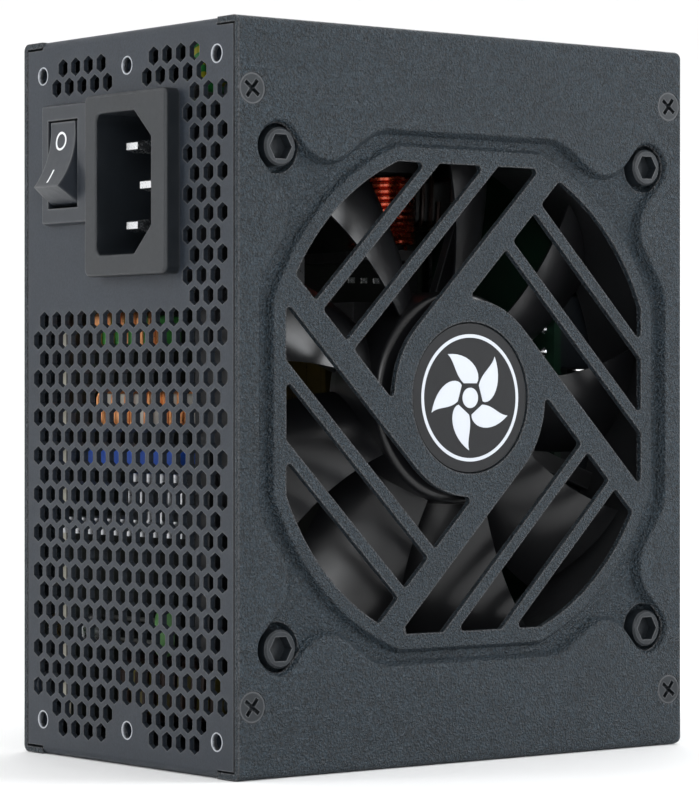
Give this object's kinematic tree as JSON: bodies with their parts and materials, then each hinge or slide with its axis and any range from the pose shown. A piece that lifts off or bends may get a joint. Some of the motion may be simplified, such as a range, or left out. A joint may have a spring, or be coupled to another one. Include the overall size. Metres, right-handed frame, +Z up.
{
  "type": "power supply unit",
  "caption": "Compact modular computer power supply in a folded steel case, with a pressed fan grille, spinning fan, mains inlet, rocker switch and modular output sockets.",
  "frame": {"origin": "centre of the narrow side wall that the unit stands on, x and y centred on the casing", "axes": "+Z up towards the other side wall, -X out of the mains face, +X out of the output face, -Y out of the fan face, +Y out of the base"},
  "size_m": [0.1061, 0.0636, 0.125],
  "materials": {
    "grey_powder_coat": "fine textured powder coat",
    "grey_panel": "smooth satin coat",
    "black_screw": "black zinc",
    "badge": "satin emblem plate",
    "black_nylon": "moulded nylon",
    "grey_nylon": "fine moulded grain",
    "fan_black": "semi-gloss moulded",
    "fan_housing": "moulded",
    "tinned_metal": "bright tin plate",
    "steel": "ground",
    "brass": "sintered",
    "magnet": "bonded ferrite",
    "board_green": "solder mask",
    "board_cream": "paper laminate",
    "copper": "enamelled copper",
    "copper_red": "red enamelled copper",
    "ferrite": "ferrite",
    "ring_green": "coated ring core",
    "ring_yellow": "coated ring core",
    "film_blue": "epoxy",
    "disc_blue": "epoxy dip",
    "disc_green": "epoxy dip",
    "black_epoxy": "epoxy",
    "aluminium": "extruded",
    "capacitor_sleeve": "shrink sleeve",
    "yellow_tape": "polyester tape",
    "earth_insulation": "insulation",
    "brown_insulation": "insulation",
    "blue_insulation": "insulation",
    "black_insulation": "insulation",
    "insulation_film": "polyester film"
  },
  "bodies": {
    "casing": {"frame_and_mains_panel": "grey_panel", "output_panel": "grey_panel", "fan_cover": "grey_powder_coat", "base_cover": "grey_powder_coat", "centre_badge": "badge", "fan_cover_screws": "black_screw", "base_screws": "black_screw", "fan_screws": "black_screw", "panel_rivets": "grey_panel", "insulation_sheet": "insulation_film", "inlet_housing": "black_nylon", "inlet_pins": "tinned_metal", "switch_housing": "grey_nylon", "switch_terminals": "tinned_metal", "earth_wire": "earth_insulation", "live_wire": "brown_insulation", "neutral_wire": "blue_insulation", "main_board": "board_cream", "board_standoffs": "brass", "board_screws": "steel", "filter_choke_core": "ring_green", "filter_choke_winding": "copper", "film_capacitor": "film_blue", "safety_capacitors": "disc_blue", "inrush_thermistor": "disc_green", "bridge_rectifier": "black_epoxy", "input_heatsink": "aluminium", "pfc_choke_core": "ring_yellow", "pfc_choke_winding": "copper", "bulk_capacitor": "capacitor_sleeve", "primary_heatsink": "aluminium", "power_transistors": "black_epoxy", "transformer_core": "ferrite", "transformer_winding": "yellow_tape", "resonant_core": "ferrite", "resonant_coil": "copper_red", "standby_transformer": "yellow_tape", "output_capacitors": "capacitor_sleeve", "output_choke_core": "ring_green", "output_choke_winding": "copper", "control_board": "board_green", "modular_board": "board_green", "main_socket_18": "black_nylon", "main_socket_10": "black_nylon", "power_sockets_8": "black_nylon", "accessory_sockets_6": "black_nylon", "socket_pins": "tinned_metal", "fan_frame": "fan_housing", "fan_bearing": "brass", "stator_core": "steel", "stator_coils": "copper", "fan_drive_board": "board_green", "fan_lead": "black_insulation"},
    "rocker": {"switch_rocker": "grey_nylon", "rocker_pin": "steel"},
    "contact": {"switch_contact": "brass"},
    "rotor": {"fan_impeller": "fan_black", "fan_shaft": "steel", "rotor_yoke": "steel", "rotor_magnet": "magnet"}
  },
  "joints": [
    {"name": "rocker_tilt", "type": "hinge", "parent": "casing", "child": "rocker", "pos_m": [-0.0481, 0.01735, 0.1031], "axis": [0, -1, 0], "range_deg": [0, 35]},
    {"name": "contact_tilt", "type": "hinge", "parent": "casing", "child": "contact", "pos_m": [-0.04, 0.01735, 0.1031], "axis": [0, -1, 0], "range_deg": [-17.5, 0]},
    {"name": "fan_spin", "type": "hinge", "parent": "casing", "child": "rotor", "pos_m": [0, -0.02, 0.0625], "axis": [0, -1, 0], "continuous": true}
  ],
  "couplings": [
    {"joint": "contact_tilt", "follows": "rocker_tilt", "ratio": -0.5}
  ]
}
